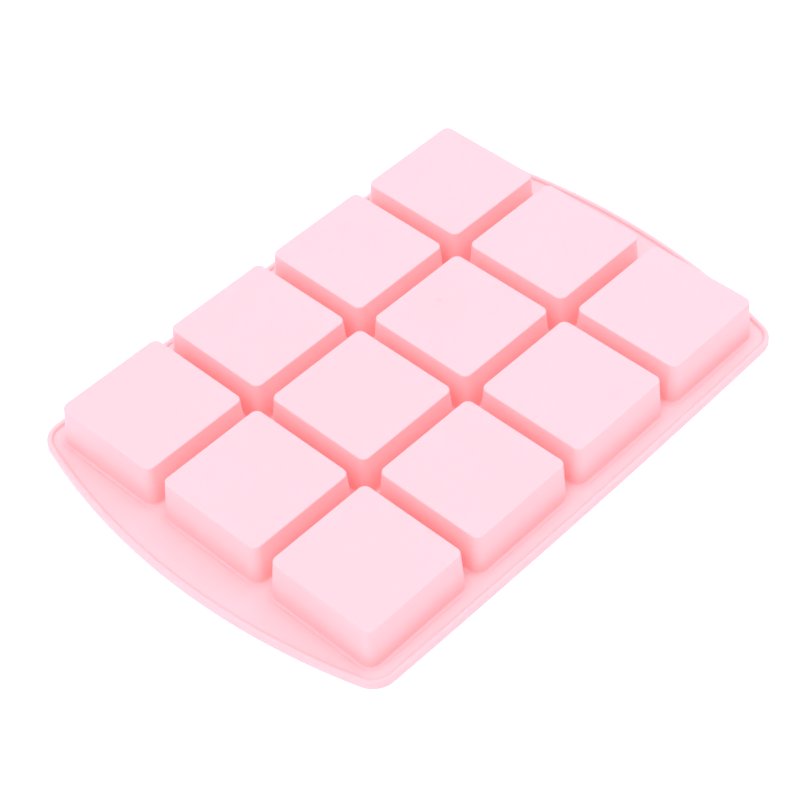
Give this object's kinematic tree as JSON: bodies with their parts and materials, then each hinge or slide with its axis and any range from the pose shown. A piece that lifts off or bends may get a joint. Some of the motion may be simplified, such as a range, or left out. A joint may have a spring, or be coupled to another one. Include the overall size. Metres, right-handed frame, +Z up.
{
  "type": "silicone soap mould",
  "caption": "Flexible soap mould: a grid of square cups hangs from a flat deck with bowed end grips and a raised rim; each cup floor presses in.",
  "frame": {"origin": "centre of the open underside: the mould lies with its mouths down, its rim, deck and cup roots on z = 0", "axes": "+X along the length, the way the rows of four cups run; +Y across the three cups; +Z up, out of the mouths' plane towards the cup floors"},
  "size_m": [0.2746, 0.194, 0.0224],
  "materials": {
    "silicone": "satin"
  },
  "bodies": {
    "mould": {"rim_front": "silicone", "rim_back": "silicone", "rim_left": "silicone", "rim_right": "silicone", "rim_corner_front_left": "silicone", "rim_corner_front_right": "silicone", "rim_corner_back_left": "silicone", "rim_corner_back_right": "silicone", "flange_front": "silicone", "flange_back": "silicone", "grip_left": "silicone", "grip_right": "silicone", "long_web_1": "silicone", "long_web_2": "silicone", "cross_web_1": "silicone", "cross_web_2": "silicone", "cross_web_3": "silicone", "cross_web_4": "silicone", "cross_web_5": "silicone", "cross_web_6": "silicone", "cross_web_7": "silicone", "cross_web_8": "silicone", "cross_web_9": "silicone", "cup_wall_1": "silicone", "cup_wall_2": "silicone", "cup_wall_3": "silicone", "cup_wall_4": "silicone", "cup_wall_5": "silicone", "cup_wall_6": "silicone", "cup_wall_7": "silicone", "cup_wall_8": "silicone", "cup_wall_9": "silicone", "cup_wall_10": "silicone", "cup_wall_11": "silicone", "cup_wall_12": "silicone"},
    "floor_1": {"cup_floor_1": "silicone"},
    "floor_2": {"cup_floor_2": "silicone"},
    "floor_3": {"cup_floor_3": "silicone"},
    "floor_4": {"cup_floor_4": "silicone"},
    "floor_5": {"cup_floor_5": "silicone"},
    "floor_6": {"cup_floor_6": "silicone"},
    "floor_7": {"cup_floor_7": "silicone"},
    "floor_8": {"cup_floor_8": "silicone"},
    "floor_9": {"cup_floor_9": "silicone"},
    "floor_10": {"cup_floor_10": "silicone"},
    "floor_11": {"cup_floor_11": "silicone"},
    "floor_12": {"cup_floor_12": "silicone"}
  },
  "joints": [
    {"name": "cup_1_press", "type": "slide", "parent": "mould", "child": "floor_1", "axis": [0, 0, -1], "range_m": [0, 0.01], "stiffness_N_per_m": 1200, "deforming": ["cup_wall_1"]},
    {"name": "cup_2_press", "type": "slide", "parent": "mould", "child": "floor_2", "axis": [0, 0, -1], "range_m": [0, 0.01], "stiffness_N_per_m": 1200, "deforming": ["cup_wall_2"]},
    {"name": "cup_3_press", "type": "slide", "parent": "mould", "child": "floor_3", "axis": [0, 0, -1], "range_m": [0, 0.01], "stiffness_N_per_m": 1200, "deforming": ["cup_wall_3"]},
    {"name": "cup_4_press", "type": "slide", "parent": "mould", "child": "floor_4", "axis": [0, 0, -1], "range_m": [0, 0.01], "stiffness_N_per_m": 1200, "deforming": ["cup_wall_4"]},
    {"name": "cup_5_press", "type": "slide", "parent": "mould", "child": "floor_5", "axis": [0, 0, -1], "range_m": [0, 0.01], "stiffness_N_per_m": 1200, "deforming": ["cup_wall_5"]},
    {"name": "cup_6_press", "type": "slide", "parent": "mould", "child": "floor_6", "axis": [0, 0, -1], "range_m": [0, 0.01], "stiffness_N_per_m": 1200, "deforming": ["cup_wall_6"]},
    {"name": "cup_7_press", "type": "slide", "parent": "mould", "child": "floor_7", "axis": [0, 0, -1], "range_m": [0, 0.01], "stiffness_N_per_m": 1200, "deforming": ["cup_wall_7"]},
    {"name": "cup_8_press", "type": "slide", "parent": "mould", "child": "floor_8", "axis": [0, 0, -1], "range_m": [0, 0.01], "stiffness_N_per_m": 1200, "deforming": ["cup_wall_8"]},
    {"name": "cup_9_press", "type": "slide", "parent": "mould", "child": "floor_9", "axis": [0, 0, -1], "range_m": [0, 0.01], "stiffness_N_per_m": 1200, "deforming": ["cup_wall_9"]},
    {"name": "cup_10_press", "type": "slide", "parent": "mould", "child": "floor_10", "axis": [0, 0, -1], "range_m": [0, 0.01], "stiffness_N_per_m": 1200, "deforming": ["cup_wall_10"]},
    {"name": "cup_11_press", "type": "slide", "parent": "mould", "child": "floor_11", "axis": [0, 0, -1], "range_m": [0, 0.01], "stiffness_N_per_m": 1200, "deforming": ["cup_wall_11"]},
    {"name": "cup_12_press", "type": "slide", "parent": "mould", "child": "floor_12", "axis": [0, 0, -1], "range_m": [0, 0.01], "stiffness_N_per_m": 1200, "deforming": ["cup_wall_12"]}
  ]
}
